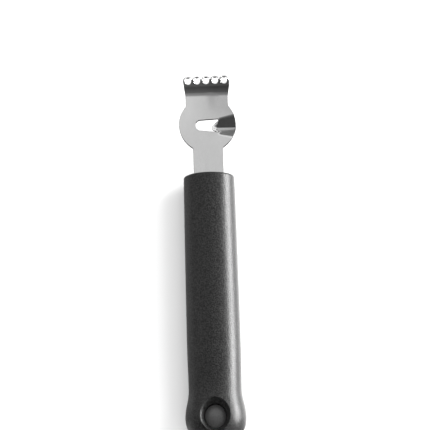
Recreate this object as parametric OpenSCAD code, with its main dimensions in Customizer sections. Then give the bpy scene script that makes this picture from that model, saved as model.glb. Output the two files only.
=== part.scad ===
// Citrus zester with a channel knife: one stamped steel blade moulded into an oval plastic handle.
// The handle's axis runs along Y with the zesting tip at +Y, and the tool lies on its back.
// The origin is the middle of the flat under the handle, so the surface it lies on is Z = 0.

/* [Handle] */
// Length of the handle from its butt to its front face, without the front's crown
handle_len = 111; // [100:1:134]
// Width across the handle at its front face
front_w = 20.6; // [19:0.1:25]
// Width across the fullest part of the grip
belly_w = 21.5; // [20:0.1:26]
// Distance from the butt to the fullest part of the grip
belly_at = 40; // [33:1:55]
// Width across the waist in front of the pommel
waist_w = 21.1; // [19:0.1:25.5]
// Distance from the butt to the waist
waist_at = 23.5; // [19.5:0.5:28.5]
// Width across the round pommel
pommel_w = 24.3; // [20.2:0.1:29.2]
// Thickness of the handle as a share of its width
handle_flatness = 0.85; // [0.75:0.01:1]
// Radius of the rounded edge round the front face
front_edge_r = 1; // [0.6:0.1:1.6]
// Height of the slight crown on the front face
front_crown = 0.6; // [0.3:0.1:1]
// Height of the handle's axis above the flat that it rests on
rest_h = 8.4; // [7.4:0.1:8.6]

/* [Handle core] */
// Width of the core bar that is moulded round the tang
core_w = 13; // [11.5:0.5:15.6]
// Thickness of the core bar
core_t = 9.5; // [7.5:0.1:11.4]
// Length of the core bar
core_len = 76; // [70:1:84]
// Distance from the front face back to the core's front end
core_setback = 4; // [3:0.5:6]
// How far each keying rib stands out of the core bar
rib_h = 1.2; // [0.6:0.1:1.6]
// Length of each keying rib along the bar
rib_len = 3; // [2:0.5:5]
// Distance from the core's front end back to the first keying rib
rib_first = 4; // [2:0.5:6]
// Number of keying ribs
rib_count = 4; // [2:1:5]
// Distance between the keying ribs
rib_pitch = 17; // [12:1:20]

/* [Hanging hole and plugs] */
// Distance from the butt to the middle of the hanging hole
hole_at = 12; // [11:0.5:14]
// Width of the oval hole
hole_w = 8.9; // [7.4:0.1:10.6]
// How much longer the oval hole is than it is wide
hole_stretch = 1.2; // [0.6:0.1:2]
// How far the hole's flared mouth spreads on each side
flare = 1.35; // [1:0.05:1.6]
// Depth of the flared mouth below the pommel's crest
flare_depth = 4.2; // [3.5:0.1:5]
// Half the thickness of the web that the two plugs clamp
web_half = 1.2; // [0.8:0.1:1.6]
// Gap between a plug and the wall of the hole
plug_gap = 0.15; // [0.1:0.05:0.25]
// Height of the plug's edge above the web
plug_edge_h = 3.6; // [3:0.1:4.6]
// Height of the plug's dome above its edge
plug_dome_h = 1.1; // [0.6:0.1:1.6]
// Radius of the plug's rounded edge
plug_edge_r = 0.5; // [0.3:0.1:0.8]
// Diameter of the snap pin that joins the plugs
pin_d = 3.2; // [2.4:0.1:4]
// Gap between the snap pin and the hole through the web
pin_gap = 0.2; // [0.1:0.05:0.4]

/* [Blade] */
// Thickness of the steel sheet
sheet_t = 1.2; // [1:0.05:1.5]
// Width of the stem between the handle and the disc
stem_w = 12.2; // [10.2:0.1:14.6]
// Width of the tang inside the handle
tang_w = 8.4; // [7:0.1:10]
// Length of the tang behind the front face
tang_len = 66; // [60:1:72]
// How far the full stem width runs on behind the front face
shoulder_len = 4; // [3:0.5:6]
// Diameter of the holes that key the tang to the core
tang_hole_d = 4; // [3:0.1:5]
// Distance from the core's front end back to the first keying hole
tang_hole_first = 12.5; // [10:0.5:14]
// Number of keying holes in the tang
tang_hole_count = 3; // [1:1:3]
// Distance between the keying holes
tang_hole_pitch = 17; // [14:1:19]
// Diameter of the disc
disc_d = 23.2; // [21:0.1:27.4]
// Distance from the front face to the middle of the disc
disc_at = 21.9; // [20:0.1:27]
// Width of the neck between the disc and the bend
neck_w = 17.3; // [15:0.1:18.6]
// Distance from the middle of the disc to the start of the bend
bend_after = 11.8; // [11.4:0.1:13.4]
// Radius of the bend at the middle of the sheet
bend_r = 7; // [5:0.5:9]
// Angle of the bend in degrees
bend_angle = 42; // [30:1:55]

/* [Zesting holes] */
// Number of zesting holes
zest_count = 5; // [3:1:6]
// Distance between the zesting holes
zest_pitch = 3.67; // [3.2:0.01:4.2]
// Diameter of the zesting holes
zest_d = 2.5; // [2:0.1:2.9]
// Radius of the lip round each zesting hole
lip_r = 2.15; // [2:0.05:2.4]
// Distance from the end of the bend to the row of zesting holes
zest_at = 1.85; // [1.7:0.05:3]
// Width of the ground edge round each zesting hole
zest_bevel = 0.45; // [0.2:0.05:0.5]

/* [Channel cutter] */
// Width of the channel at the sheet's face
channel_w = 8.2; // [7:0.1:9.8]
// Depth of the channel
channel_depth = 2.5; // [2.2:0.1:3.6]
// Distance of the channel's valley behind the middle of the disc
channel_back = 0.1; // [0:0.1:1]
// Distance from the middle of the disc to the tip of the cutting nose
nose_x = 1.9; // [1.6:0.1:2.4]
// How far the nose's flanks run back from its tip
nose_rake = 2.7; // [2.2:0.1:3]
// Distance from the middle of the disc to the slot's round end
slot_end_x = 4.9; // [4.6:0.1:5.4]
// Width of the slot at its round end
slot_end_w = 4.3; // [4:0.1:4.5]
// Width of the slot at the cutting nose
slot_nose_w = 5.9; // [5.2:0.1:6.6]

/* [Hidden] */
$fn = 64;
OVER = 1;
SIDE_STEPS = 14;
EDGE_STEPS = 4;
BEND_STEPS = 20;
SIDE_GRIND = 0.04;
front_y = handle_len / 2;
butt_y = -handle_len / 2;
hole_y = butt_y + hole_at;
pommel_r = pommel_w / 2;
pommel_top = pommel_r * handle_flatness;
bend_at = disc_at + bend_after;
lip_w = (zest_count - 1) * zest_pitch + 2 * lip_r - 2 * SIDE_GRIND;
bend_run = bend_r * sin(bend_angle);
nose_back_x = nose_x + nose_rake;
plug_w = hole_w - 2 * plug_gap;
socket_depth = web_half + plug_edge_h / 2;

// Smooth step from 0 to 1 as t goes from 0 to 1
function ease(t) = (1 - cos(180 * t)) / 2;

// Half width of the handle between the butt's round end and the front edge, at y from the butt
function half_w(y) =
    y < waist_at
        ? pommel_r + (waist_w / 2 - pommel_r) * ease((y - pommel_r) / (waist_at - pommel_r))
        : y < belly_at
            ? waist_w / 2 + (belly_w - waist_w) / 2 * ease((y - waist_at) / (belly_at - waist_at))
            : belly_w / 2 + (front_w - belly_w) / 2
                * pow((y - belly_at) / (handle_len - belly_at), 1.6);

// Half outline of the handle, from the butt round the pommel and along the side to the front
function pommel_points() = [
    for (i = [1 : SIDE_STEPS]) let (a = 90 * i / SIDE_STEPS)
        [pommel_r * sin(a), pommel_r * (1 - cos(a))]
];
function run_points(from, to, steps) = [
    for (i = [1 : steps]) let (y = from + (to - from) * i / steps)
        [half_w(y), y]
];
function edge_points() = let (r = front_edge_r, x = half_w(handle_len - r) - r) [
    for (i = [1 : EDGE_STEPS]) let (a = 90 * i / EDGE_STEPS)
        [x + r * cos(a), handle_len - r + r * sin(a)]
];
function crown_points() = let (x = half_w(handle_len - front_edge_r) - front_edge_r) [
    for (i = [1 : EDGE_STEPS]) let (t = 1 - i / EDGE_STEPS)
        [x * t, handle_len + front_crown * (1 - t * t)]
];

// Turns a shape modelled up Z so that it runs along Y
module along_y() {
    rotate([-90, 0, 0])
        children();
}

// Lifts the handle's axis to its height above the resting surface
module on_axis() {
    translate([0, 0, rest_h])
        children();
}

module handle_outer() {
    translate([0, butt_y, 0])
        scale([1, 1, handle_flatness])
            along_y()
                rotate_extrude()
                    polygon(concat(
                        [[0, 0]],
                        pommel_points(),
                        run_points(pommel_r, waist_at, SIDE_STEPS),
                        run_points(waist_at, belly_at, 5),
                        run_points(belly_at, handle_len - front_edge_r, 8),
                        edge_points(),
                        crown_points()
                    ));
}

// A bar with round edges that ends at y0 and runs back towards the butt
module round_bar(w, t, y0, len) {
    translate([0, y0 - len, 0])
        along_y()
            linear_extrude(len) {
                square([w - t, t], center = true);
                for (side = [-1, 1])
                    translate([side * (w - t) / 2, 0])
                        circle(d = t);
            }
}

module core_outer() {
    round_bar(core_w, core_t, -core_setback, core_len);
    for (i = [0 : rib_count - 1])
        round_bar(
            core_w + 2 * rib_h,
            core_t + 2 * rib_h,
            -core_setback - rib_first - i * rib_pitch,
            rib_len
        );
}

// Outline of the flat sheet from the tang to the start of the bend
module sheet_plan() {
    translate([-tang_w / 2, -tang_len])
        square([tang_w, tang_len]);
    translate([-stem_w / 2, -shoulder_len])
        square([stem_w, shoulder_len + disc_at]);
    translate([0, disc_at])
        circle(d = disc_d);
    translate([-neck_w / 2, disc_at])
        square([neck_w, bend_after]);
}

module slot_plan() {
    end_r = slot_end_w / 2;
    translate([0, disc_at - channel_back]) {
        translate([end_r - slot_end_x, 0])
            circle(r = end_r);
        polygon([
            [end_r - slot_end_x, end_r],
            [end_r - slot_end_x, -end_r],
            [nose_back_x, -slot_nose_w / 2],
            [nose_back_x, slot_nose_w / 2]
        ]);
    }
}

module channel_plan() {
    translate([nose_back_x, disc_at - channel_back - channel_w / 2])
        square([disc_d, channel_w]);
}

module tang_holes(h) {
    for (i = [0 : tang_hole_count - 1])
        translate([0, -core_setback - tang_hole_first - i * tang_hole_pitch, -h / 2])
            cylinder(d = tang_hole_d, h = h);
}

module flat_sheet() {
    difference() {
        translate([0, 0, -sheet_t / 2])
            linear_extrude(sheet_t)
                difference() {
                    sheet_plan();
                    slot_plan();
                    channel_plan();
                }
        tang_holes(sheet_t + 2 * OVER);
    }
}

// V section of the pressed channel, run out along X and trimmed to the disc and the nose
module channel_trough() {
    half = channel_w / 2;
    translate([0, disc_at - channel_back, 0])
        intersection() {
            rotate([90, 0, 90])
                linear_extrude(disc_d)
                    polygon([
                        [-half, sheet_t / 2],
                        [-half, -sheet_t / 2],
                        [0, -sheet_t / 2 - channel_depth],
                        [half, -sheet_t / 2],
                        [half, sheet_t / 2],
                        [0, sheet_t / 2 - channel_depth]
                    ]);
            translate([0, channel_back, -2 * channel_depth])
                cylinder(d = disc_d, h = 4 * channel_depth);
            translate([0, 0, -2 * channel_depth])
                linear_extrude(4 * channel_depth)
                    polygon([
                        [nose_x, 0],
                        [nose_back_x, -slot_nose_w / 2],
                        [nose_back_x, -half],
                        [disc_d, -half],
                        [disc_d, half],
                        [nose_back_x, half],
                        [nose_back_x, slot_nose_w / 2]
                    ]);
        }
}

// Side view of the curled end, from the start of the bend to the tip: outer face out, inner face back
function arc_points(r) = [
    for (i = [0 : BEND_STEPS]) let (a = bend_angle * i / BEND_STEPS)
        [r * sin(a), bend_r - r * cos(a)]
];
function tip_point(r, run) = [
    r * sin(bend_angle) + run * cos(bend_angle),
    bend_r - r * cos(bend_angle) + run * sin(bend_angle)
];
function reversed(points) = [for (i = [len(points) - 1 : -1 : 0]) points[i]];

module curled_strip() {
    outer_r = bend_r + sheet_t / 2;
    inner_r = bend_r - sheet_t / 2;
    tip_run = zest_at + lip_r + OVER;
    translate([-lip_w / 2, bend_at, 0])
        rotate([90, 0, 90])
            linear_extrude(lip_w)
                polygon(concat(
                    arc_points(outer_r),
                    [tip_point(outer_r, tip_run), tip_point(inner_r, tip_run)],
                    reversed(arc_points(inner_r))
                ));
}

// What is trimmed off one side, where the neck spreads to the width of the tip
module side_trim() {
    translate([0, bend_at, -bend_r])
        linear_extrude(4 * bend_r)
            polygon([
                [neck_w / 2, -OVER],
                [neck_w / 2, 0],
                [lip_w / 2 + OVER / 10, bend_run],
                [lip_w, bend_run],
                [lip_w, -OVER]
            ]);
}

// Turns what is modelled flat about the bend's axis to the bend's end
module at_tip() {
    translate([0, bend_at, bend_r])
        rotate([bend_angle, 0, 0])
            translate([0, 0, -bend_r])
                children();
}

module each_zest_hole() {
    for (i = [0 : zest_count - 1])
        translate([(i - (zest_count - 1) / 2) * zest_pitch, zest_at, 0])
            children();
}

// The waste round the lips: a block over the tip's end, less a disc round each hole
module lip_trim() {
    difference() {
        translate([-lip_w, zest_at, -sheet_t])
            cube([2 * lip_w, 2 * lip_r, 2 * sheet_t]);
        each_zest_hole()
            cylinder(r = lip_r, h = 4 * sheet_t, center = true);
    }
}

// One zesting hole, with the ground bevel on the side that the tip curls towards
module zest_hole() {
    cylinder(d = zest_d, h = 2 * sheet_t, center = true);
    translate([0, 0, sheet_t / 2 - zest_bevel])
        cylinder(d1 = zest_d, d2 = zest_d + 4 * zest_bevel, h = 2 * zest_bevel);
}

module curled_part() {
    difference() {
        curled_strip();
        side_trim();
        mirror([1, 0, 0])
            side_trim();
        at_tip() {
            lip_trim();
            each_zest_hole()
                zest_hole();
        }
    }
}

module flat_part() {
    flat_sheet();
    channel_trough();
}

module blade_shape() {
    flat_part();
    curled_part();
}

// Moves what is modelled from the handle's front face to its place
module at_front() {
    translate([0, front_y, 0])
        children();
}

// The tang's outline as a solid, for the slit that it fills in the mouldings
module tang_slit() {
    translate([0, 0, -sheet_t / 2])
        linear_extrude(sheet_t)
            sheet_plan();
}

// A half outline and its mirror image as one closed outline; it starts and ends on the axis
function both_sides(points) = concat(
    points,
    [for (i = [len(points) - 2 : -1 : 1]) [-points[i][0], points[i][1]]]
);

// An oval solid from a half outline: a half turn at each end and a straight run between
module oval_solid(points) {
    for (end = [0, 1])
        mirror([0, end, 0])
            translate([0, hole_stretch / 2, 0])
                rotate_extrude(angle = 180)
                    polygon(points);
    translate([0, hole_stretch / 2, 0])
        rotate([90, 0, 0])
            linear_extrude(hole_stretch)
                polygon(both_sides(points));
}

// The hole on the side that faces up, from the web to above the pommel's crest
module half_hole() {
    mouth_z = pommel_top - flare_depth;
    translate([0, 0, web_half])
        oval_solid([
            [0, 0],
            [hole_w / 2, 0],
            [hole_w / 2, mouth_z - web_half],
            [hole_w / 2 + 2 * flare, mouth_z - web_half + 2 * flare_depth],
            [0, mouth_z - web_half + 2 * flare_depth]
        ]);
}

// Half outline of a plug's head: the side, the rounded edge and the dome
function plug_edge_points() = let (r = plug_edge_r, x = plug_w / 2 - plug_edge_r) [
    for (i = [0 : EDGE_STEPS]) let (a = 70 * i / EDGE_STEPS)
        [x + r * cos(a), plug_edge_h - r + r * sin(a)]
];
function plug_dome_points() = let (rim = plug_edge_points()[EDGE_STEPS]) [
    for (i = [1 : 2 * EDGE_STEPS]) let (t = 1 - i / (2 * EDGE_STEPS))
        [rim[0] * t, rim[1] + plug_dome_h * (1 - t * t)]
];

module plug_head() {
    translate([0, 0, web_half])
        oval_solid(concat([[0, 0], [plug_w / 2, 0]], plug_edge_points(), plug_dome_points()));
}

module blade() {
    color("silver")
        on_axis()
            at_front()
                blade_shape();
}

module handle_core() {
    color("dimgray")
        on_axis()
            at_front()
                difference() {
                    core_outer();
                    difference() {
                        tang_slit();
                        tang_holes(sheet_t + 2 * OVER);
                    }
                }
}

module handle_grip() {
    color("#262626")
        on_axis()
            difference() {
                handle_outer();
                translate([-handle_len, -handle_len, -handle_len - rest_h])
                    cube([2 * handle_len, 2 * handle_len, handle_len]);
                at_front() {
                    core_outer();
                    tang_slit();
                }
                translate([0, hole_y, 0]) {
                    half_hole();
                    mirror([0, 0, 1])
                        half_hole();
                    translate([0, 0, -web_half - OVER])
                        cylinder(d = pin_d + 2 * pin_gap, h = 2 * (web_half + OVER));
                }
            }
}

module plug_front() {
    color("#2e2e2e")
        on_axis()
            translate([0, hole_y, 0]) {
                plug_head();
                translate([0, 0, -socket_depth])
                    cylinder(d = pin_d, h = socket_depth + web_half + OVER);
            }
}

module plug_back() {
    color("#2e2e2e")
        on_axis()
            translate([0, hole_y, 0])
                difference() {
                    mirror([0, 0, 1])
                        plug_head();
                    translate([0, 0, -socket_depth])
                        cylinder(d = pin_d, h = socket_depth);
                }
}

blade();
handle_core();
handle_grip();
plug_front();
plug_back();
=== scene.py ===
from math import atan2, cos, degrees, hypot, pi, radians, sin, sqrt

import bmesh
import bpy
from mathutils import Matrix, Vector


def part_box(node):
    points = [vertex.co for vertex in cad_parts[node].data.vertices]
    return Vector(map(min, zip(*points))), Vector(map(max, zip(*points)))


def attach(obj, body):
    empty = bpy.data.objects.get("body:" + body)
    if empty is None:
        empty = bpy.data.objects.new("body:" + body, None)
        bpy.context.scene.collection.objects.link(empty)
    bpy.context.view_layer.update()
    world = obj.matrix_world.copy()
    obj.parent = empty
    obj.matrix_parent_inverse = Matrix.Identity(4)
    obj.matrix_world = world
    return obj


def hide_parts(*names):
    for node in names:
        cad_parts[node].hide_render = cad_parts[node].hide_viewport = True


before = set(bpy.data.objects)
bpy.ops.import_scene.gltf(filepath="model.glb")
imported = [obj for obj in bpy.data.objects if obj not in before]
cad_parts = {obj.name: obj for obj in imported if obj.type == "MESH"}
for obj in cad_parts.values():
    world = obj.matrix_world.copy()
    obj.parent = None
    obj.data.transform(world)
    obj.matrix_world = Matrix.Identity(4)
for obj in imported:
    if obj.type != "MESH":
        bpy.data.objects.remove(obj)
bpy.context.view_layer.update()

MM = 0.001

# Places in the shared frame, in millimetres, read from the CAD nodes
grip_low, grip_high = (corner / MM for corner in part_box("handle_grip"))
blade_low, blade_high = (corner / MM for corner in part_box("blade"))
plug_low, plug_high = (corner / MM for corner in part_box("plug_front"))
BUTT_Y = grip_low.y
HANDLE_LEN = -2 * BUTT_Y
FRONT_Y = -BUTT_Y
FRONT_CROWN = grip_high.y - FRONT_Y
POMMEL_R = grip_high.x
HOLE_Y = (plug_low.y + plug_high.y) / 2
TANG_LEN = FRONT_Y - blade_low.y
REST_H = 8.4

# The handle's side profile: radius and distance from the butt
WAIST_R, WAIST_AT = 10.55, 23.5
BELLY_R, BELLY_AT = 10.75, 40.0
FRONT_R = 10.3
FRONT_EDGE_R = 1.0
FLATNESS = 0.85

# The hanging hole and its plugs
HOLE_R = 4.45
HOLE_OVAL = 1.13
MOUTH_FLARE = 1.35 + 0.45
MOUTH_FLARE_DEPTH = 4.4
MOUTH_FLARE_RISE = 3.3
MOUTH_FLARE_POWER = 1.7
MOUTH_FLARE_END = 1.4
WEB_HALF = 1.2
PLUG_R = 4.3
PLUG_EDGE_H = 3.6
PLUG_DOME_H = 1.1
PLUG_EDGE_R = 0.5
PLUG_CHAMFER = 0.15

# The blade as it is cut from the sheet, before pressing and bending
SHEET_T = 1.2
STEM_HALF = 6.1
TANG_HALF = 4.2
SHOULDER = 4.0
TANG_HOLE_R = 2.0
TANG_HOLES_AT = (-16.5, -33.5, -50.5)
DISC_R = 11.6
DISC_AT = 21.9
NECK_HALF = 8.65
CORNER_R = 0.5
EDGE_BREAK = 0.12
BEND_AT = 33.7
BEND_R = 7.0
BEND_ANGLE = radians(42)
BEND_CUTS = 28
ZEST_COUNT = 5
ZEST_PITCH = 3.67
ZEST_R = 1.25
ZEST_RIM_R = 1.88
ZEST_BEVEL_R = 2.05
ZEST_LAND_SHARE = 0.88
ZEST_BEVEL_SLOPE = 0.95
LIP_R = 2.15
ZEST_FLAT = 1.85
BEND_END = BEND_AT + BEND_R * BEND_ANGLE
ZEST_AT = BEND_END + ZEST_FLAT
ZEST_BRIGHT = 1.6
BEND_ZONE_Y = 31

# The channel cutter: slot, cutting nose and pressed valley
SLOT_Y = DISC_AT - 0.25
CHANNEL_Y = DISC_AT - 1.1
SLOT_END_X, SLOT_END_R = -2.75, 2.15
SLOT_CORNER_X = 4.6
SLOT_CORNER_HIGH, SLOT_CORNER_LOW = 3.3, 2.35
NOSE_R, NOSE_MID_X = 1.4, 3.1
GRIND_X, GRIND_SLANT, GRIND_SHORTEST = 3.5, 0.38, 0.4
VALLEY_DEPTH = 2.0
VALLEY_RISE = -0.08
VALLEY_SOFTNESS = 0.028
NOSE_SOFTNESS = 0.5
CHANNEL_HALF = 3.3
CHANNEL_FLARE = 0.22
FOLD_SOFTNESS = 0.15
PRESS_FROM_X, PRESS_HALF = 1.0, 6.0
PRESS_RISE_BEFORE, PRESS_RISE_AFTER = 0.6, 0.8
NOSE_EDGE_T = 0.15

# Material places on the blade: ground faces take a copy of the steel painted brighter, a painted highlight,
# and sheared walls a copy painted near black, a painted shade
GROUND_PAINTED_BRIGHT, SHEARED_PAINTED_DARK = 1, 2

# The studio: the painted sheen on the steel, lighter on the left of the neck and darker on its right, and
# the surround's lifts
PAINTED_SHEEN_LEFT, PAINTED_SHEEN_RIGHT, PAINTED_SHEEN_PLAIN = 0.08, -0.32, 1.17
PAINTED_SHEEN_FROM, PAINTED_SHEEN_TO = FRONT_Y + 16, FRONT_Y + 29
PLAIN_STRENGTH = 1.17
RIGHT_LIFT, LEFT_LIFT, LOW_LIFT = 1.3, 0.12, 3.2

# The camera: angles in degrees, places in millimetres
CAMERA_ELEVATION, CAMERA_AZIMUTH, CAMERA_ROLL = 76.18, -4.22, 6.05
CAMERA_AIM_Y = 20
CAMERA_AIM_RIGHT, CAMERA_AIM_UP = 3.41, 18.67
CAMERA_DISTANCE = 1000
CAMERA_LENS = 208.1


# ---------------------------------------------------------------- camera
def place_camera():
    elevation, azimuth, roll = radians(CAMERA_ELEVATION), radians(CAMERA_AZIMUTH), radians(CAMERA_ROLL)
    away = Vector((-sin(azimuth) * cos(elevation), -cos(azimuth) * cos(elevation), sin(elevation)))
    right = Vector((cos(azimuth), -sin(azimuth), 0))
    up = away.cross(right)
    view_right = right * cos(roll) - up * sin(roll)
    view_up = up * cos(roll) + right * sin(roll)
    middle = Vector((0, CAMERA_AIM_Y, REST_H)) + right * CAMERA_AIM_RIGHT + up * CAMERA_AIM_UP
    data = bpy.data.cameras.new("camera")
    data.sensor_width = 36
    data.lens = CAMERA_LENS
    data.clip_start = 0.01
    camera = bpy.data.objects.new("camera", data)
    bpy.context.scene.collection.objects.link(camera)
    turn = Matrix((view_right, view_up, away)).transposed().to_4x4()
    camera.matrix_world = Matrix.Translation((middle + away * CAMERA_DISTANCE) * MM) @ turn
    bpy.context.scene.camera = camera


place_camera()


# ---------------------------------------------------------------- mesh helpers
def point(bm, x, y, z=0.0):
    return bm.verts.new((x * MM, y * MM, z * MM))


def line_to(bm, start, x, y, z=0.0):
    end = point(bm, x, y, z)
    bm.edges.new((start, end))
    return end


def arc_to(bm, start, cx, cy, turn, steps):
    made = bmesh.ops.spin(
        bm, geom=[start], cent=(cx * MM, cy * MM, 0), axis=(0, 0, 1), angle=radians(turn), steps=steps
    )
    return next(g for g in made["geom_last"] if isinstance(g, bmesh.types.BMVert))


def ring(bm, cx, cy, r, steps):
    start = point(bm, cx + r, cy)
    bmesh.ops.spin(
        bm, geom=[start], cent=(cx * MM, cy * MM, 0), axis=(0, 0, 1), angle=2 * pi, steps=steps,
        use_merge=True,
    )


def cut(bm, co, no, inside=lambda middle: True):
    """Cuts the faces whose middle is inside along one plane; places in millimetres."""
    faces = [f for f in bm.faces if inside(f.calc_center_median() / MM)]
    edges = {e for f in faces for e in f.edges}
    verts = {v for f in faces for v in f.verts}
    bmesh.ops.bisect_plane(
        bm, geom=[*verts, *edges, *faces], dist=1e-6, plane_co=Vector(co) * MM, plane_no=no
    )


def as_piece(bm, name, slot, materials, replaces=(), sharp=30):
    mesh = bpy.data.meshes.new(name)
    bm.to_mesh(mesh)
    bm.free()
    piece = bpy.data.objects.new(name, mesh)
    bpy.context.scene.collection.objects.link(piece)
    for material in materials:
        mesh.materials.append(material)
    mesh.polygons.foreach_set("use_smooth", [True] * len(mesh.polygons))
    mesh.set_sharp_from_angle(angle=radians(sharp))
    if slot:
        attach(piece, "root")
        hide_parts(*replaces)
    return piece


# ---------------------------------------------------------------- material helpers
def new_material(name, colour, roughness, metallic=0.0, specular=0.5):
    material = bpy.data.materials.new(name)
    material.use_nodes = True
    shader = material.node_tree.nodes["Principled BSDF"]
    shader.inputs["Base Color"].default_value = (*colour, 1)
    shader.inputs["Roughness"].default_value = roughness
    shader.inputs["Metallic"].default_value = metallic
    shader.inputs["Specular IOR Level"].default_value = specular
    return material, material.node_tree, shader


def add_node(tree, kind, settings=None, **inputs):
    node = tree.nodes.new(kind)
    for key, value in (settings or {}).items():
        setattr(node, key, value)
    for key, value in inputs.items():
        by_place = key[0] == "i" and key[1:].isdigit()
        socket = node.inputs[int(key[1:]) if by_place else key.replace("_", " ")]
        if isinstance(value, bpy.types.NodeSocket):
            tree.links.new(value, socket)
        else:
            socket.default_value = value
    return node


def object_coords(tree, stretch=(1, 1, 1), turn=(0, 0, 0)):
    coords = add_node(tree, "ShaderNodeTexCoord").outputs["Object"]
    mapping = add_node(tree, "ShaderNodeMapping", Vector=coords, Scale=stretch, Rotation=turn)
    return mapping.outputs["Vector"]


def noise(tree, coords, scale, detail=2.0, roughness=0.5):
    made = add_node(
        tree, "ShaderNodeTexNoise", Vector=coords, Scale=scale, Detail=detail, Roughness=roughness
    )
    return made.outputs["Fac"]


def math_node(tree, operation, a, b=0.0):
    return add_node(tree, "ShaderNodeMath", {"operation": operation}, i0=a, i1=b).outputs[0]


def map_range(tree, value, low, high, to_low, to_high):
    made = add_node(tree, "ShaderNodeMapRange", i0=value, i1=low, i2=high, i3=to_low, i4=to_high)
    return made.outputs[0]


def bump(tree, height, distance, strength=1.0, normal=None):
    made = add_node(tree, "ShaderNodeBump", Height=height, Distance=distance * MM, Strength=strength)
    if normal:
        tree.links.new(normal, made.inputs["Normal"])
    return made.outputs["Normal"]


def ramp(tree, value, stops):
    made = add_node(tree, "ShaderNodeValToRGB", Fac=value)
    colours = made.color_ramp
    while len(colours.elements) < len(stops):
        colours.elements.new(0.5)
    for element, (place, grey) in zip(colours.elements, stops):
        element.position = place
        element.color = (grey, grey, grey, 1)
    return made.outputs["Color"]


# ---------------------------------------------------------------- materials
def brushed_steel(name, roughness, base, grazing=1.0):
    """Stainless sheet with a fine satin grain along its length, faint smears, light scratches and a painted
    sheen, lighter on the left and darker on the right from the disc to the tip.
    """
    material, tree, shader = new_material(name, (base, base, base), roughness, metallic=1.0)
    shader.inputs["Specular Tint"].default_value = (grazing, grazing, grazing, 1)
    along = object_coords(tree, (1, 0.06, 1))
    grain = noise(tree, along, 9000, 3)
    clouds = noise(tree, object_coords(tree, (1, 0.5, 1)), 160, 3)
    scratch_coords = object_coords(tree, (1, 0.03, 1), (0, 0, radians(24)))
    scratches = noise(tree, scratch_coords, 5200, 1)
    scratch_mask = map_range(tree, scratches, 0.70, 0.76, 0.0, 1.0)
    rough = map_range(tree, clouds, 0.3, 0.7, roughness * 0.85, roughness * 1.2)
    tree.links.new(rough, shader.inputs["Roughness"])
    tint = map_range(tree, math_node(tree, "ADD", clouds, grain), 0.7, 1.3, base * 0.94, base * 1.05)
    # Painted sheen: from the disc towards the tip the steel's colour is made lighter on the left and darker
    # on the right, standing in for how the light falls across the neck
    split = add_node(tree, "ShaderNodeSeparateXYZ", Vector=object_coords(tree))
    neck = map_range(tree, split.outputs["Y"], PAINTED_SHEEN_FROM * MM, PAINTED_SHEEN_TO * MM, 0.0, 1.0)
    across = map_range(
        tree, split.outputs["X"], -NECK_HALF * MM, NECK_HALF * MM, PAINTED_SHEEN_LEFT, PAINTED_SHEEN_RIGHT
    )
    painted_sheen = math_node(tree, "MULTIPLY_ADD", neck, across)
    painted_sheen.node.inputs[2].default_value = PAINTED_SHEEN_PLAIN
    tint = math_node(tree, "MULTIPLY", tint, painted_sheen)
    colour = add_node(tree, "ShaderNodeCombineColor", i0=tint, i1=tint, i2=tint)
    tree.links.new(colour.outputs[0], shader.inputs["Base Color"])
    normal = bump(tree, grain, 0.004, 0.5)
    normal = bump(tree, scratch_mask, -0.004, 0.6, normal)
    tree.links.new(normal, shader.inputs["Normal"])
    return material


def grained_plastic(name, base, roughness, grain_scale, depth, shine, contrast=1.0):
    """Black moulded plastic with a spark-eroded grain, slight rub marks and a mould's parting line."""
    material, tree, shader = new_material(name, (base, base, base), roughness, specular=shine)
    coords = object_coords(tree)
    grain = noise(tree, coords, grain_scale, 2, 0.55)
    fine = noise(tree, coords, grain_scale * 2.7, 1)
    wear = noise(tree, object_coords(tree, (1, 0.4, 1)), 90, 4)
    speck = map_range(tree, grain, 0.38, 0.66, base * (1 - 0.6 * contrast), base * (1 + 2.2 * contrast))
    colour = add_node(tree, "ShaderNodeCombineColor", i0=speck, i1=speck, i2=speck)
    tree.links.new(colour.outputs[0], shader.inputs["Base Color"])
    rough = map_range(tree, wear, 0.3, 0.7, roughness * 0.93, roughness * 1.08)
    tree.links.new(rough, shader.inputs["Roughness"])
    height = math_node(tree, "MULTIPLY_ADD", fine, 0.35)
    tree.links.new(grain, height.node.inputs[2])
    normal = bump(tree, height, depth)
    split = add_node(tree, "ShaderNodeSeparateXYZ", Vector=coords).outputs["Z"]
    off_line = math_node(tree, "ABSOLUTE", math_node(tree, "SUBTRACT", split, REST_H * MM))
    line = map_range(tree, off_line, 0.0, 0.12 * MM, 1.0, 0.0)
    normal = bump(tree, line, 0.03, 1.0, normal)
    tree.links.new(normal, shader.inputs["Normal"])
    return material


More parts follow.
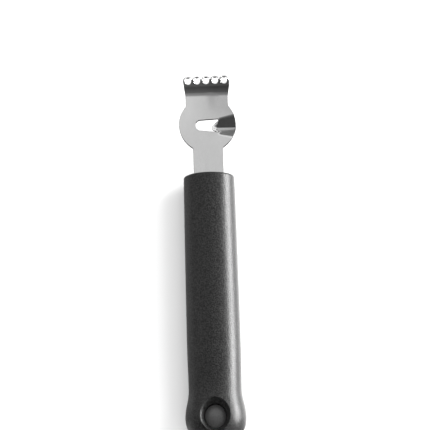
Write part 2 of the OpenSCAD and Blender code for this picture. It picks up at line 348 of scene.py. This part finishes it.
# ---------------------------------------------------------------- the blade
def draw_blank(bm):
    """The blank's outline and its round holes, flat, with the handle's front face at y = 0."""
    at_stem = sqrt(DISC_R**2 - STEM_HALF**2)
    at_neck = sqrt(DISC_R**2 - NECK_HALF**2)
    sweep = degrees(atan2(at_neck, NECK_HALF) + atan2(at_stem, STEM_HALF))
    tip_half = (ZEST_COUNT - 1) / 2 * ZEST_PITCH
    notch = degrees(atan2(sqrt(LIP_R**2 - (ZEST_PITCH / 2) ** 2), ZEST_PITCH / 2))
    start = point(bm, TANG_HALF, -TANG_LEN)
    at = line_to(bm, start, TANG_HALF, -SHOULDER)
    at = line_to(bm, at, STEM_HALF, -SHOULDER)
    stem_corner = at = line_to(bm, at, STEM_HALF, DISC_AT - at_stem)
    neck_corner = at = arc_to(bm, at, 0, DISC_AT, sweep, 44)
    at = line_to(bm, at, NECK_HALF, BEND_AT)
    at = line_to(bm, at, tip_half + LIP_R, ZEST_AT - ZEST_FLAT)
    at = line_to(bm, at, tip_half + LIP_R, ZEST_AT)
    for lobe in range(ZEST_COUNT):
        first = 0 if lobe == 0 else notch
        last = 180 if lobe == ZEST_COUNT - 1 else 180 - notch
        at = arc_to(bm, at, tip_half - lobe * ZEST_PITCH, ZEST_AT, last - first, 20)
    at = line_to(bm, at, -NECK_HALF, BEND_AT)
    left_neck = at = line_to(bm, at, -NECK_HALF, DISC_AT + at_neck)
    left_stem = at = arc_to(bm, at, 0, DISC_AT, sweep, 44)
    at = line_to(bm, at, -STEM_HALF, -SHOULDER)
    at = line_to(bm, at, -TANG_HALF, -SHOULDER)
    at = line_to(bm, at, -TANG_HALF, -TANG_LEN)
    bm.edges.new((at, start))
    for y in TANG_HOLES_AT:
        ring(bm, 0, y, TANG_HOLE_R, 32)
    for hole in range(ZEST_COUNT):
        ring(bm, (hole - (ZEST_COUNT - 1) / 2) * ZEST_PITCH, ZEST_AT, ZEST_R, 72)
    for v in bm.verts:
        away = v.co - nearest_zest_hole(v.co)
        if away.length < (ZEST_R + 0.01) * MM:
            v.co += away.normalized() * (min(ZEST_RIM_R, zest_bevel_radius(v.co)) - ZEST_R) * MM
    return [stem_corner, neck_corner, left_neck, left_stem]


def draw_slot(bm):
    """The slot: a round end, two sides that spread, and a round cutting nose between their ends."""
    run = SLOT_CORNER_X - SLOT_END_X
    top_lean = degrees(atan2(CHANNEL_Y + SLOT_CORNER_HIGH - SLOT_Y - SLOT_END_R, run))
    low_lean = degrees(atan2(SLOT_Y - CHANNEL_Y + SLOT_CORNER_LOW - SLOT_END_R, run))
    start = radians(90 + top_lean)
    top = point(bm, SLOT_END_X + SLOT_END_R * cos(start), SLOT_Y + SLOT_END_R * sin(start))
    bottom = arc_to(bm, top, SLOT_END_X, SLOT_Y, 180 - top_lean - low_lean, 24)
    low = line_to(bm, bottom, SLOT_CORNER_X, CHANNEL_Y - SLOT_CORNER_LOW)
    turn = [nose_touch(SLOT_CORNER_LOW), nose_touch(SLOT_CORNER_HIGH)]
    at = line_to(
        bm, low, NOSE_MID_X + NOSE_R * cos(radians(turn[0])), CHANNEL_Y - NOSE_R * sin(radians(turn[0]))
    )
    at = arc_to(bm, at, NOSE_MID_X, CHANNEL_Y, turn[0] + turn[1] - 360, 16)
    high = line_to(bm, at, SLOT_CORNER_X, CHANNEL_Y + SLOT_CORNER_HIGH)
    bm.edges.new((high, top))
    return [low, high]


def nose_touch(corner_half):
    """Angle at which the line from a slot corner meets the nose's round tip, from +X."""
    back = SLOT_CORNER_X - NOSE_MID_X
    reach = hypot(back, corner_half)
    return degrees(atan2(corner_half, back) + atan2(sqrt(reach**2 - NOSE_R**2), NOSE_R))


def corner_half(y):
    return SLOT_CORNER_HIGH if y > CHANNEL_Y else SLOT_CORNER_LOW


def nose_outline_x(y):
    """X of the cutting nose's outline at a place across the channel."""
    off = abs(y - CHANNEL_Y)
    touch = radians(nose_touch(corner_half(y)))
    if off < NOSE_R * sin(touch):
        return NOSE_MID_X - sqrt(NOSE_R**2 - off**2)
    edge_x = NOSE_MID_X + NOSE_R * cos(touch)
    share = (off - NOSE_R * sin(touch)) / (corner_half(y) - NOSE_R * sin(touch))
    return edge_x + (SLOT_CORNER_X - edge_x) * share


def smooth_step(low, high, value):
    t = min(1.0, max(0.0, (value - low) / (high - low)))
    return t * t * (3 - 2 * t)


def channel_half(x):
    return CHANNEL_HALF + CHANNEL_FLARE * (x - SLOT_CORNER_X)


def press_depth(x, y):
    """How far the sheet is pressed down at a place on the blank."""
    off_middle = abs(y - CHANNEL_Y)
    if x < PRESS_FROM_X or off_middle > PRESS_HALF:
        return 0.0
    spread = smooth_step(SLOT_CORNER_X - PRESS_RISE_BEFORE, SLOT_CORNER_X + PRESS_RISE_AFTER, x)
    if x > nose_outline_x(y) - 0.05:
        spread += (1 - spread) * (1 - smooth_step(0.7, 1.0, off_middle / corner_half(y)))
    off = off_middle / channel_half(x)
    depth = (VALLEY_DEPTH - VALLEY_RISE * (x - SLOT_CORNER_X)) * spread
    soft = NOSE_SOFTNESS + (VALLEY_SOFTNESS - NOSE_SOFTNESS) * smooth_step(2.4, 4.2, x)
    if off < soft:
        return depth * (1 - (off**2 + soft**2) / (2 * soft))
    if off < 1 - FOLD_SOFTNESS:
        return depth * (1 - off)
    if off < 1 + FOLD_SOFTNESS:
        return depth * (1 + FOLD_SOFTNESS - off) ** 2 / (4 * FOLD_SOFTNESS)
    return 0.0


def ground_share(x, y):
    """How much of the sheet's thickness is ground off the cutting nose, from 0 to 1."""
    off = abs(y - CHANNEL_Y)
    edge_x = nose_outline_x(y)
    if off > corner_half(y) or x < edge_x - 0.1 or x > SLOT_CORNER_X + 0.2:
        return 0.0
    line_x = GRIND_X + GRIND_SLANT * off
    return min(1.0, max(0.0, (line_x - x) / max(GRIND_SHORTEST, line_x - edge_x)))


def cut_channel_grid(bm):
    """Cuts the disc's right side along the channel's walls and folds, and in columns across them."""
    zone_half = 5.4
    round_zone = 9
    grind_right = 5.5
    first_column, fine_until = 1.8, 5
    fine_step, coarse_step = 0.3, 0.8
    guard = 0.015
    wall_shares = [0.16, 0.24, 0.33, 0.42, 0.5, 0.6, 0.72, 1.3]
    left, right = 0.9, DISC_R

    def in_zone(middle):
        return left < middle.x < right and abs(middle.y - CHANNEL_Y) < zone_half

    cut(bm, (left, 0, 0), (1, 0, 0), lambda middle: abs(middle.y - CHANNEL_Y) < round_zone)
    for side in (-1, 1):
        cut(bm, (0, CHANNEL_Y + side * zone_half, 0), (0, 1, 0), lambda middle: middle.x > left)
    fan_x = SLOT_CORNER_X - CHANNEL_HALF / CHANNEL_FLARE
    soft = FOLD_SOFTNESS
    shares = [VALLEY_SOFTNESS * i / 3 for i in range(4)] + [1 + soft * i / 4 for i in range(-4, 5)]
    shares += [VALLEY_SOFTNESS + guard, 1 - soft - guard, 1 + soft + guard]
    for share in sorted(shares + wall_shares):
        for side in ((-1, 1) if share else (1,)):
            cut(bm, (fan_x, CHANNEL_Y, 0), (-side * share * CHANNEL_FLARE, 1, 0), in_zone)
    for side in (-1, 1):
        normal = (1, -side * GRIND_SLANT, 0)
        cut(
            bm, (GRIND_X, CHANNEL_Y, 0), normal,
            lambda m: in_zone(m) and m.x < grind_right and (m.y - CHANNEL_Y) * side > 0,
        )
    x = first_column
    while x < DISC_R:
        cut(bm, (x, 0, 0), (1, 0, 0), in_zone)
        x += fine_step if x < fine_until else coarse_step


def make_blade(steel, ground, sheared_edge_painted_dark):
    bm = bmesh.new()
    slot_corner_r = 0.3
    guard_before, guard_after = 0.15, 0.1
    drop = bm.verts.layers.float.new("drop")
    corners = draw_blank(bm)
    slot_corners = draw_slot(bm)
    bmesh.ops.bevel(
        bm, geom=corners, affect="VERTICES", offset=CORNER_R * MM, segments=5, profile=0.5, material=-1
    )
    bmesh.ops.bevel(
        bm, geom=slot_corners, affect="VERTICES", offset=slot_corner_r * MM, segments=3, profile=0.5,
        material=-1,
    )
    bmesh.ops.triangle_fill(bm, use_beauty=True, use_dissolve=False, edges=bm.edges[:], normal=(0, 0, 1))
    bmesh.ops.inset_region(
        bm, faces=bm.faces[:], thickness=EDGE_BREAK * MM, use_boundary=True, use_even_offset=True
    )
    for v in bm.verts:
        if v.is_boundary:
            v[drop] = EDGE_BREAK
    cut_channel_grid(bm)
    for i in range(BEND_CUTS + 1):
        y = BEND_AT + BEND_R * BEND_ANGLE * i / BEND_CUTS
        cut(bm, (0, y, 0), (0, 1, 0), lambda m: m.y > BEND_ZONE_Y)
    for guard in (BEND_AT - guard_before, BEND_END + guard_after):
        cut(bm, (0, guard, 0), (0, 1, 0))
    bmesh.ops.remove_doubles(bm, verts=bm.verts[:], dist=0.004 * MM)

    bevel_zest_holes(bm, drop)
    bmesh.ops.recalc_face_normals(bm, faces=bm.faces[:])
    if sum(f.normal.z for f in bm.faces) < 0:
        bmesh.ops.reverse_faces(bm, faces=bm.faces[:])
    made = bmesh.ops.extrude_face_region(bm, geom=bm.faces[:])
    upper = {g for g in made["geom"] if isinstance(g, bmesh.types.BMVert)}
    half = SHEET_T / 2
    for v in bm.verts:
        v.co.z = (half - max(v[drop], zest_drop(v.co)) if v in upper else v[drop] - half) * MM
    bmesh.ops.recalc_face_normals(bm, faces=bm.faces[:])
    for face in bm.faces:
        middle = face.calc_center_median() / MM
        # Walls near the zesting row take the steel copy painted bright (painted highlight), all other walls
        # the copy painted near black (painted shade); the ground top of the cutting nose takes the bright
        # copy too
        if abs(face.normal.z) < 0.999:
            face.material_index = GROUND_PAINTED_BRIGHT if middle.y > ZEST_AT - ZEST_BRIGHT else SHEARED_PAINTED_DARK
        elif ground_share(middle.x, middle.y) > 0.01 and middle.z > 0:
            face.material_index = GROUND_PAINTED_BRIGHT
    for v in bm.verts:
        x, y = v.co.x / MM, v.co.y / MM
        ground_off = ground_share(x, y) * (SHEET_T - NOSE_EDGE_T)
        if v in upper:
            v.co.z = min(v.co.z, (half - ground_off) * MM)
        elif ground_off > 0.5:
            v.co.z = -half * MM
        v.co.z -= press_depth(x, y) * MM
    bend_tip(bm)
    bmesh.ops.translate(bm, verts=bm.verts[:], vec=Vector((0, FRONT_Y, REST_H)) * MM)
    bmesh.ops.recalc_face_normals(bm, faces=bm.faces[:])
    blade = as_piece(bm, "blade_sheet", "blade_steel", [steel, ground, sheared_edge_painted_dark], ["blade"], sharp=24)
    blade.visible_diffuse = False
    return blade


def nearest_zest_hole(co):
    place = round(co.x / MM / ZEST_PITCH + (ZEST_COUNT - 1) / 2)
    hole = min(ZEST_COUNT - 1, max(0, place))
    return Vector(((hole - (ZEST_COUNT - 1) / 2) * ZEST_PITCH, ZEST_AT, 0)) * MM


def zest_bevel_radius(co, land_share=ZEST_LAND_SHARE):
    """Radius of the grind round a zesting hole: narrow behind the hole, wide at the tip, less at its top."""
    away = co - nearest_zest_hole(co)
    lift = degrees(atan2(away.y, abs(away.x)))
    share = smooth_step(8, 46, lift) - land_share * smooth_step(62, 74, lift)
    least = ZEST_R + 0.03
    return least + (ZEST_BEVEL_R - least) * share


def zest_drop(co):
    """How far the grind round a zesting hole lowers the sheet's face."""
    away = (co - nearest_zest_hole(co)) / MM
    radius = hypot(away.x, away.y)
    if radius > LIP_R - 0.02 or away.y < -ZEST_R:
        return 0.0
    land_share = 0 if radius < ZEST_R + 0.01 else ZEST_LAND_SHARE
    return ZEST_BEVEL_SLOPE * max(0.0, zest_bevel_radius(co, land_share) - radius)


def bevel_zest_holes(bm, drop):
    """Closes each grind's rim in to the round hole itself."""
    edges = []
    for edge in bm.edges:
        middle = (edge.verts[0].co + edge.verts[1].co) / 2
        if edge.is_boundary and (middle - nearest_zest_hole(middle)).length < (ZEST_RIM_R + 0.02) * MM:
            edges.append(edge)
    for v in {v for e in edges for v in e.verts}:
        v[drop] = 0
    made = bmesh.ops.extrude_edge_only(bm, edges=edges)
    for v in {g for g in made["geom"] if isinstance(g, bmesh.types.BMVert)}:
        hole = nearest_zest_hole(v.co)
        v.co = hole + (v.co - hole).normalized() * ZEST_R * MM


def bend_tip(bm):
    for v in bm.verts:
        run = v.co.y / MM - BEND_AT
        if run > 0:
            turn = min(run / BEND_R, BEND_ANGLE)
            beyond = run - turn * BEND_R
            r = BEND_R - v.co.z / MM
            v.co.y = (BEND_AT + r * sin(turn) + beyond * cos(turn)) * MM
            v.co.z = (BEND_R - r * cos(turn) + beyond * sin(turn)) * MM


# ---------------------------------------------------------------- the handle
def ease(t):
    return (1 - cos(pi * t)) / 2


def handle_half(y):
    """Half width of the handle at a distance from the butt, past the pommel's round end."""
    if y < WAIST_AT:
        return POMMEL_R + (WAIST_R - POMMEL_R) * ease((y - POMMEL_R) / (WAIST_AT - POMMEL_R))
    if y < BELLY_AT:
        return WAIST_R + (BELLY_R - WAIST_R) * ease((y - WAIST_AT) / (BELLY_AT - WAIST_AT))
    return BELLY_R + (FRONT_R - BELLY_R) * ((y - BELLY_AT) / (HANDLE_LEN - BELLY_AT)) ** 1.6


def make_grip(plastic):
    bm = bmesh.new()
    at = point(bm, 0, 0)
    at = arc_to(bm, at, 0, POMMEL_R, 90, 26)
    steps = 70
    last = HANDLE_LEN - FRONT_EDGE_R
    for i in range(1, steps + 1):
        y = POMMEL_R + (last - POMMEL_R) * i / steps
        at = line_to(bm, at, handle_half(y), y)
    at = arc_to(bm, at, handle_half(last) - FRONT_EDGE_R, last, 90, 8)
    crown_from = handle_half(last) - FRONT_EDGE_R
    for i in range(1, 13):
        t = 1 - i / 12
        at = line_to(bm, at, crown_from * t, HANDLE_LEN + FRONT_CROWN * (1 - t * t))
    bmesh.ops.spin(
        bm, geom=bm.verts[:] + bm.edges[:], cent=(0, 0, 0), axis=(0, 1, 0), angle=2 * pi, steps=128,
        use_merge=True,
    )
    bmesh.ops.remove_doubles(bm, verts=bm.verts[:], dist=1e-6)
    bmesh.ops.scale(bm, verts=bm.verts[:], vec=(1, 1, FLATNESS))
    bmesh.ops.translate(bm, verts=bm.verts[:], vec=Vector((0, BUTT_Y, REST_H)) * MM)
    made = bmesh.ops.bisect_plane(
        bm, geom=bm.verts[:] + bm.edges[:] + bm.faces[:], plane_co=(0, 0, 0), plane_no=(0, 0, -1),
        clear_outer=True, dist=1e-7,
    )
    bmesh.ops.holes_fill(bm, edges=[e for e in made["geom_cut"] if isinstance(e, bmesh.types.BMEdge)])
    bmesh.ops.recalc_face_normals(bm, faces=bm.faces[:])
    grip = as_piece(bm, "grip_moulding", "grip_plastic", [plastic], ["handle_grip"], sharp=35)
    for cutter in (mouth_cutter(1), mouth_cutter(-1), slit_cutter()):
        carve(grip, cutter)
    grip.data.polygons.foreach_set("use_smooth", [True] * len(grip.data.polygons))
    grip.data.set_sharp_from_angle(angle=radians(35))
    return grip


def mouth_cutter(side):
    """The waste in the hanging hole on one side of the web: straight, then flared like a trumpet."""
    bm = bmesh.new()
    at = point(bm, 0, WEB_HALF)
    at = line_to(bm, at, HOLE_R, WEB_HALF)
    flare_from = POMMEL_R * FLATNESS - MOUTH_FLARE_DEPTH
    at = line_to(bm, at, HOLE_R, flare_from)
    for i in range(1, 15):
        t = i / 10
        wide = HOLE_R + MOUTH_FLARE * t**MOUTH_FLARE_POWER
        at = line_to(bm, at, wide, flare_from + MOUTH_FLARE_RISE * t)
    line_to(bm, at, 0, flare_from + MOUTH_FLARE_RISE * MOUTH_FLARE_END)
    bmesh.ops.rotate(bm, verts=bm.verts[:], cent=(0, 0, 0), matrix=Matrix.Rotation(pi / 2, 3, "X"))
    bmesh.ops.spin(
        bm, geom=bm.verts[:] + bm.edges[:], cent=(0, 0, 0), axis=(0, 0, 1), angle=2 * pi, steps=96,
        use_merge=True,
    )
    bmesh.ops.remove_doubles(bm, verts=bm.verts[:], dist=1e-6)
    bmesh.ops.scale(bm, verts=bm.verts[:], vec=(1, HOLE_OVAL, side))
    bmesh.ops.translate(bm, verts=bm.verts[:], vec=Vector((0, HOLE_Y, REST_H)) * MM)
    bmesh.ops.recalc_face_normals(bm, faces=bm.faces[:])
    return as_piece(bm, "mouth_waste", None, [])


def slit_cutter():
    """The waste that leaves the stem's slit in the handle's front, with a little room round the sheet."""
    room, slit_len, slit_middle = 0.2, 6, FRONT_Y + 1.4
    bm = bmesh.new()
    bmesh.ops.create_cube(bm, size=1)
    bmesh.ops.scale(
        bm, verts=bm.verts[:],
        vec=Vector((2 * STEM_HALF + room, slit_len, SHEET_T + room)) * MM,
    )
    bmesh.ops.translate(bm, verts=bm.verts[:], vec=Vector((0, slit_middle, REST_H)) * MM)
    return as_piece(bm, "slit_waste", None, [])


def carve(piece, cutter):
    carver = piece.modifiers.new("carve", "BOOLEAN")
    carver.operation = "DIFFERENCE"
    carver.solver = "EXACT"
    carver.object = cutter
    shaped = bpy.data.meshes.new_from_object(piece.evaluated_get(bpy.context.evaluated_depsgraph_get()))
    piece.modifiers.clear()
    piece.data = shaped
    bpy.data.objects.remove(cutter)


# ---------------------------------------------------------------- the plugs
def make_plug(name, node, side, plastic):
    bm = bmesh.new()
    at = point(bm, 0, WEB_HALF)
    at = line_to(bm, at, PLUG_R - PLUG_CHAMFER, WEB_HALF)
    at = line_to(bm, at, PLUG_R, WEB_HALF + PLUG_CHAMFER)
    edge_y = WEB_HALF + PLUG_EDGE_H - PLUG_EDGE_R
    at = line_to(bm, at, PLUG_R, edge_y)
    at = arc_to(bm, at, PLUG_R - PLUG_EDGE_R, edge_y, 72, 8)
    rim_x, rim_y = at.co.x / MM, at.co.y / MM
    for i in range(1, 15):
        t = 1 - i / 14
        at = line_to(bm, at, rim_x * t, rim_y + PLUG_DOME_H * (1 - t * t))
    bmesh.ops.rotate(bm, verts=bm.verts[:], cent=(0, 0, 0), matrix=Matrix.Rotation(pi / 2, 3, "X"))
    bmesh.ops.spin(
        bm, geom=bm.verts[:] + bm.edges[:], cent=(0, 0, 0), axis=(0, 0, 1), angle=2 * pi, steps=96,
        use_merge=True,
    )
    bmesh.ops.remove_doubles(bm, verts=bm.verts[:], dist=1e-6)
    bmesh.ops.scale(bm, verts=bm.verts[:], vec=(1, HOLE_OVAL, side))
    bmesh.ops.translate(bm, verts=bm.verts[:], vec=Vector((0, HOLE_Y, REST_H)) * MM)
    bmesh.ops.recalc_face_normals(bm, faces=bm.faces[:])
    return as_piece(bm, name, "plug_plastic", [plastic], [node], sharp=40)


# ---------------------------------------------------------------- floor, world and lights
def make_floor():
    bm = bmesh.new()
    gap = 0.1 * MM
    bmesh.ops.create_grid(bm, x_segments=1, y_segments=1, size=3)
    bmesh.ops.translate(bm, verts=bm.verts[:], vec=(0, 0, -gap))
    material, _, _ = new_material("pale_table", (0.86, 0.86, 0.86), 0.9, specular=0.0)
    floor = as_piece(bm, "floor", None, [material])
    floor.visible_glossy = False


def make_world():
    """A studio surround: even for plain light, and banded where the steel and the handle mirror it."""
    world = bpy.data.worlds.new("studio")
    bpy.context.scene.world = world
    world.use_nodes = True
    tree = world.node_tree
    tree.nodes.clear()
    way = add_node(tree, "ShaderNodeTexCoord").outputs["Generated"]
    split = add_node(tree, "ShaderNodeSeparateXYZ", Vector=way)
    x, y, z = split.outputs
    tilt = math_node(tree, "ARCTAN2", math_node(tree, "MULTIPLY", y, -1.0), z)
    place = map_range(tree, tilt, -pi, pi, 0.0, 1.0)

    def at(angle):
        return (angle + 180) / 360

    along = ramp(tree, place, [
        (at(-180), 0.25), (at(-168), 0.42), (at(-150), 0.42), (at(-138), 1.0), (at(-96), 1.0),
        (at(-88), 0.20), (at(-62), 0.22), (at(-50), 0.85), (at(-28), 0.95), (at(-20), 0.86),
        (at(-14), 0.72), (at(-8), 0.42), (at(-3), 0.29), (at(8), 0.26), (at(14), 0.12),
        (at(40), 0.07), (at(56), 0.05), (at(66), 0.11), (at(90), 0.12), (at(108), 0.95), (at(180), 0.95),
    ])
    right = map_range(tree, x, 0.35, 0.85, 0.0, 1.0)
    left = map_range(tree, x, -0.35, -0.85, 0.0, 1.0)
    below = map_range(tree, z, -0.05, 0.1, LOW_LIFT, 0.0)
    off_band = math_node(tree, "ABSOLUTE", math_node(tree, "SUBTRACT", y, 0.24))
    band = math_node(tree, "MULTIPLY", below, map_range(tree, off_band, 0.15, 0.4, 1.0, 0.0))
    low_right = math_node(tree, "MULTIPLY", map_range(tree, x, 0.08, 0.3, 0.0, 1.0), band)
    right = math_node(tree, "MULTIPLY", right, RIGHT_LIFT)
    left = math_node(tree, "MULTIPLY", left, LEFT_LIFT)
    lift = math_node(tree, "MAXIMUM", math_node(tree, "MAXIMUM", right, left), low_right)
    seen = math_node(tree, "MAXIMUM", along, lift)
    glossy = add_node(tree, "ShaderNodeLightPath").outputs["Is Glossy Ray"]
    mirror_light = add_node(tree, "ShaderNodeBackground", Color=(1, 1, 1, 1), Strength=seen).outputs[0]
    plain_light = add_node(tree, "ShaderNodeBackground", Color=(1, 1, 1, 1), Strength=PLAIN_STRENGTH)
    mix = add_node(tree, "ShaderNodeMixShader", i0=glossy, i1=plain_light.outputs[0], i2=mirror_light)
    add_node(tree, "ShaderNodeOutputWorld", Surface=mix.outputs[0])


def area_light(name, place, size, power, aim=(0, 0.02, 0.01)):
    data = bpy.data.lights.new(name, "AREA")
    data.shape = "RECTANGLE"
    data.size, data.size_y = size
    data.energy = power
    light = bpy.data.objects.new(name, data)
    bpy.context.scene.collection.objects.link(light)
    away = Vector(place) - Vector(aim)
    light.matrix_world = Matrix.Translation(place) @ away.to_track_quat("Z", "Y").to_matrix().to_4x4()
    return light


def make_lights():
    area_light("low_strip_light", (1.0, 0.25, 0.17), (0.9, 0.26), 31)
    softbox = area_light("high_softbox", (0.75, 0.30, 0.72), (0.5, 0.5), 6)
    softbox.visible_glossy = False


steel = brushed_steel("satin_steel", 0.14, 0.62)
# The ground finish is rougher than the satin sheet but painted brighter, a painted highlight; the sheared
# edges are rough and dull and also painted near black with a weak grazing tint, a painted shade
ground = brushed_steel("ground_steel_painted_highlight", 0.22, 0.88)
sheared_edge_painted_dark = brushed_steel("sheared_edge_steel_painted_shade", 0.42, 0.05, 0.15)
grip_plastic = grained_plastic("grained_grip_plastic", 0.006, 0.31, 1900, 0.09, 0.35, 1.3)
plug_plastic = grained_plastic("grained_plug_plastic", 0.05, 0.30, 2200, 0.004, 0.6, 0.15)
core_plastic = grained_plastic("core_plastic", 0.09, 0.5, 900, 0.05, 0.4)

make_blade(steel, ground, sheared_edge_painted_dark)
make_grip(grip_plastic)
make_plug("plug_cap_front", "plug_front", 1, plug_plastic)
make_plug("plug_cap_back", "plug_back", -1, plug_plastic)
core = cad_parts["handle_core"]
core.material_slots[0].material = core_plastic

make_floor()
make_world()
make_lights()
bpy.context.scene.view_settings.view_transform = "Standard"
